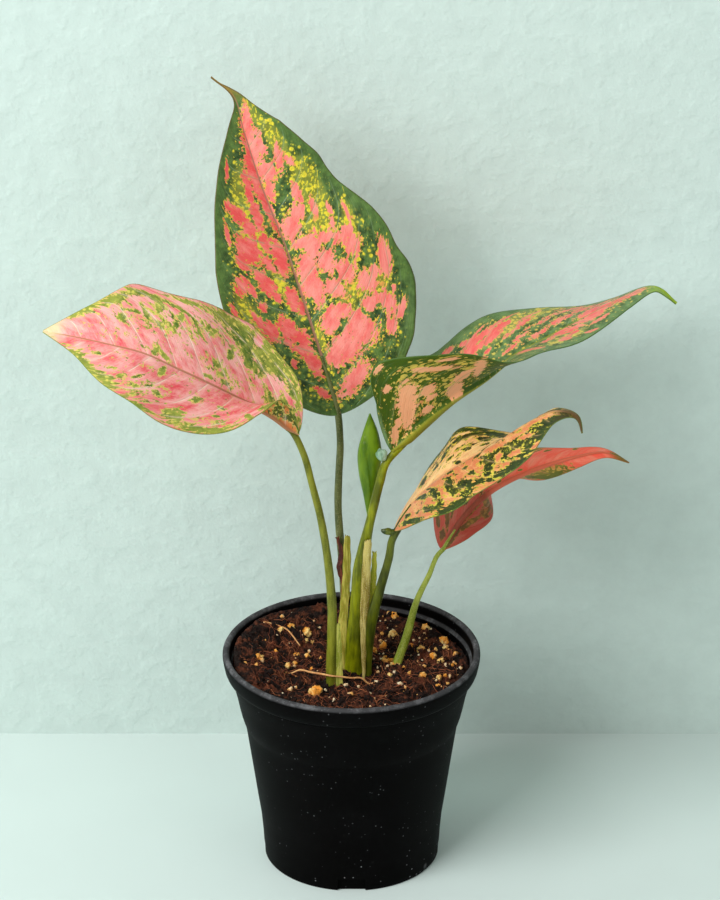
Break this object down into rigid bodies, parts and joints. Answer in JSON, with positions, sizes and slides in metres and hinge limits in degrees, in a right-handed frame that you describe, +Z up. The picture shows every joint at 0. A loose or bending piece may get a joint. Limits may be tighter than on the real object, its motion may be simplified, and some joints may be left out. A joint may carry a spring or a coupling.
{
  "type": "potted plant",
  "caption": "Young houseplant with broad pink and green patterned leaves on slim upright stalks, in a round black plastic nursery pot with potting mix.",
  "frame": {"origin": "middle of the pot's foot, on the surface that the pot stands on", "axes": "+Z up along the pot's axis, +X to the side of the upper right leaf, -Y towards the viewer"},
  "size_m": [0.3114, 0.1426, 0.3944],
  "materials": {
    "pot_plastic": "satin black, scuffed at the rim",
    "potting_mix": "crumbly and fibrous",
    "cane": "dull",
    "leaf_tall": "satin green with coral and yellow patches",
    "leaf_left": "satin coral pink with green speckles",
    "leaf_upper_right": "satin, salmon and yellow on dark green",
    "leaf_front_right": "satin, salmon and yellow with dark green speckles",
    "leaf_low_right": "satin coral",
    "stalk": "satin olive green, mottled",
    "new_leaf": "glossy bright green",
    "sheath_tan_left": "dry and papery",
    "sheath_tan_front": "dry and fibrous",
    "sheath_yellow_right": "thin and papery",
    "sheath_brown": "dried and brittle",
    "sheath_left": "thin and papery",
    "root_tan": "dull",
    "root_reddish": "dull",
    "perlite": "chalky",
    "bark": "rough"
  },
  "bodies": {
    "root": {"pot": "pot_plastic", "potting_mix": "potting_mix", "cane": "cane", "leaf_tall": "leaf_tall", "leaf_left": "leaf_left", "leaf_upper_right": "leaf_upper_right", "leaf_front_right": "leaf_front_right", "leaf_low_right": "leaf_low_right", "stalk_tall": "stalk", "stalk_left": "stalk", "stalk_upper_right": "stalk", "stalk_front_right": "stalk", "stalk_low_right": "stalk", "new_leaf": "new_leaf", "sheath_tan_left": "sheath_tan_left", "sheath_tan_front": "sheath_tan_front", "sheath_yellow_right": "sheath_yellow_right", "sheath_brown": "sheath_brown", "sheath_left": "sheath_left", "root_long": "root_tan", "root_left": "root_tan", "root_right": "root_reddish", "perlite_01": "perlite", "perlite_02": "perlite", "perlite_03": "perlite", "perlite_04": "perlite", "perlite_05": "perlite", "perlite_06": "perlite", "perlite_07": "perlite", "perlite_08": "perlite", "perlite_09": "perlite", "perlite_10": "perlite", "perlite_11": "perlite", "perlite_12": "perlite", "bark_chip": "bark"}
  },
  "joints": []
}
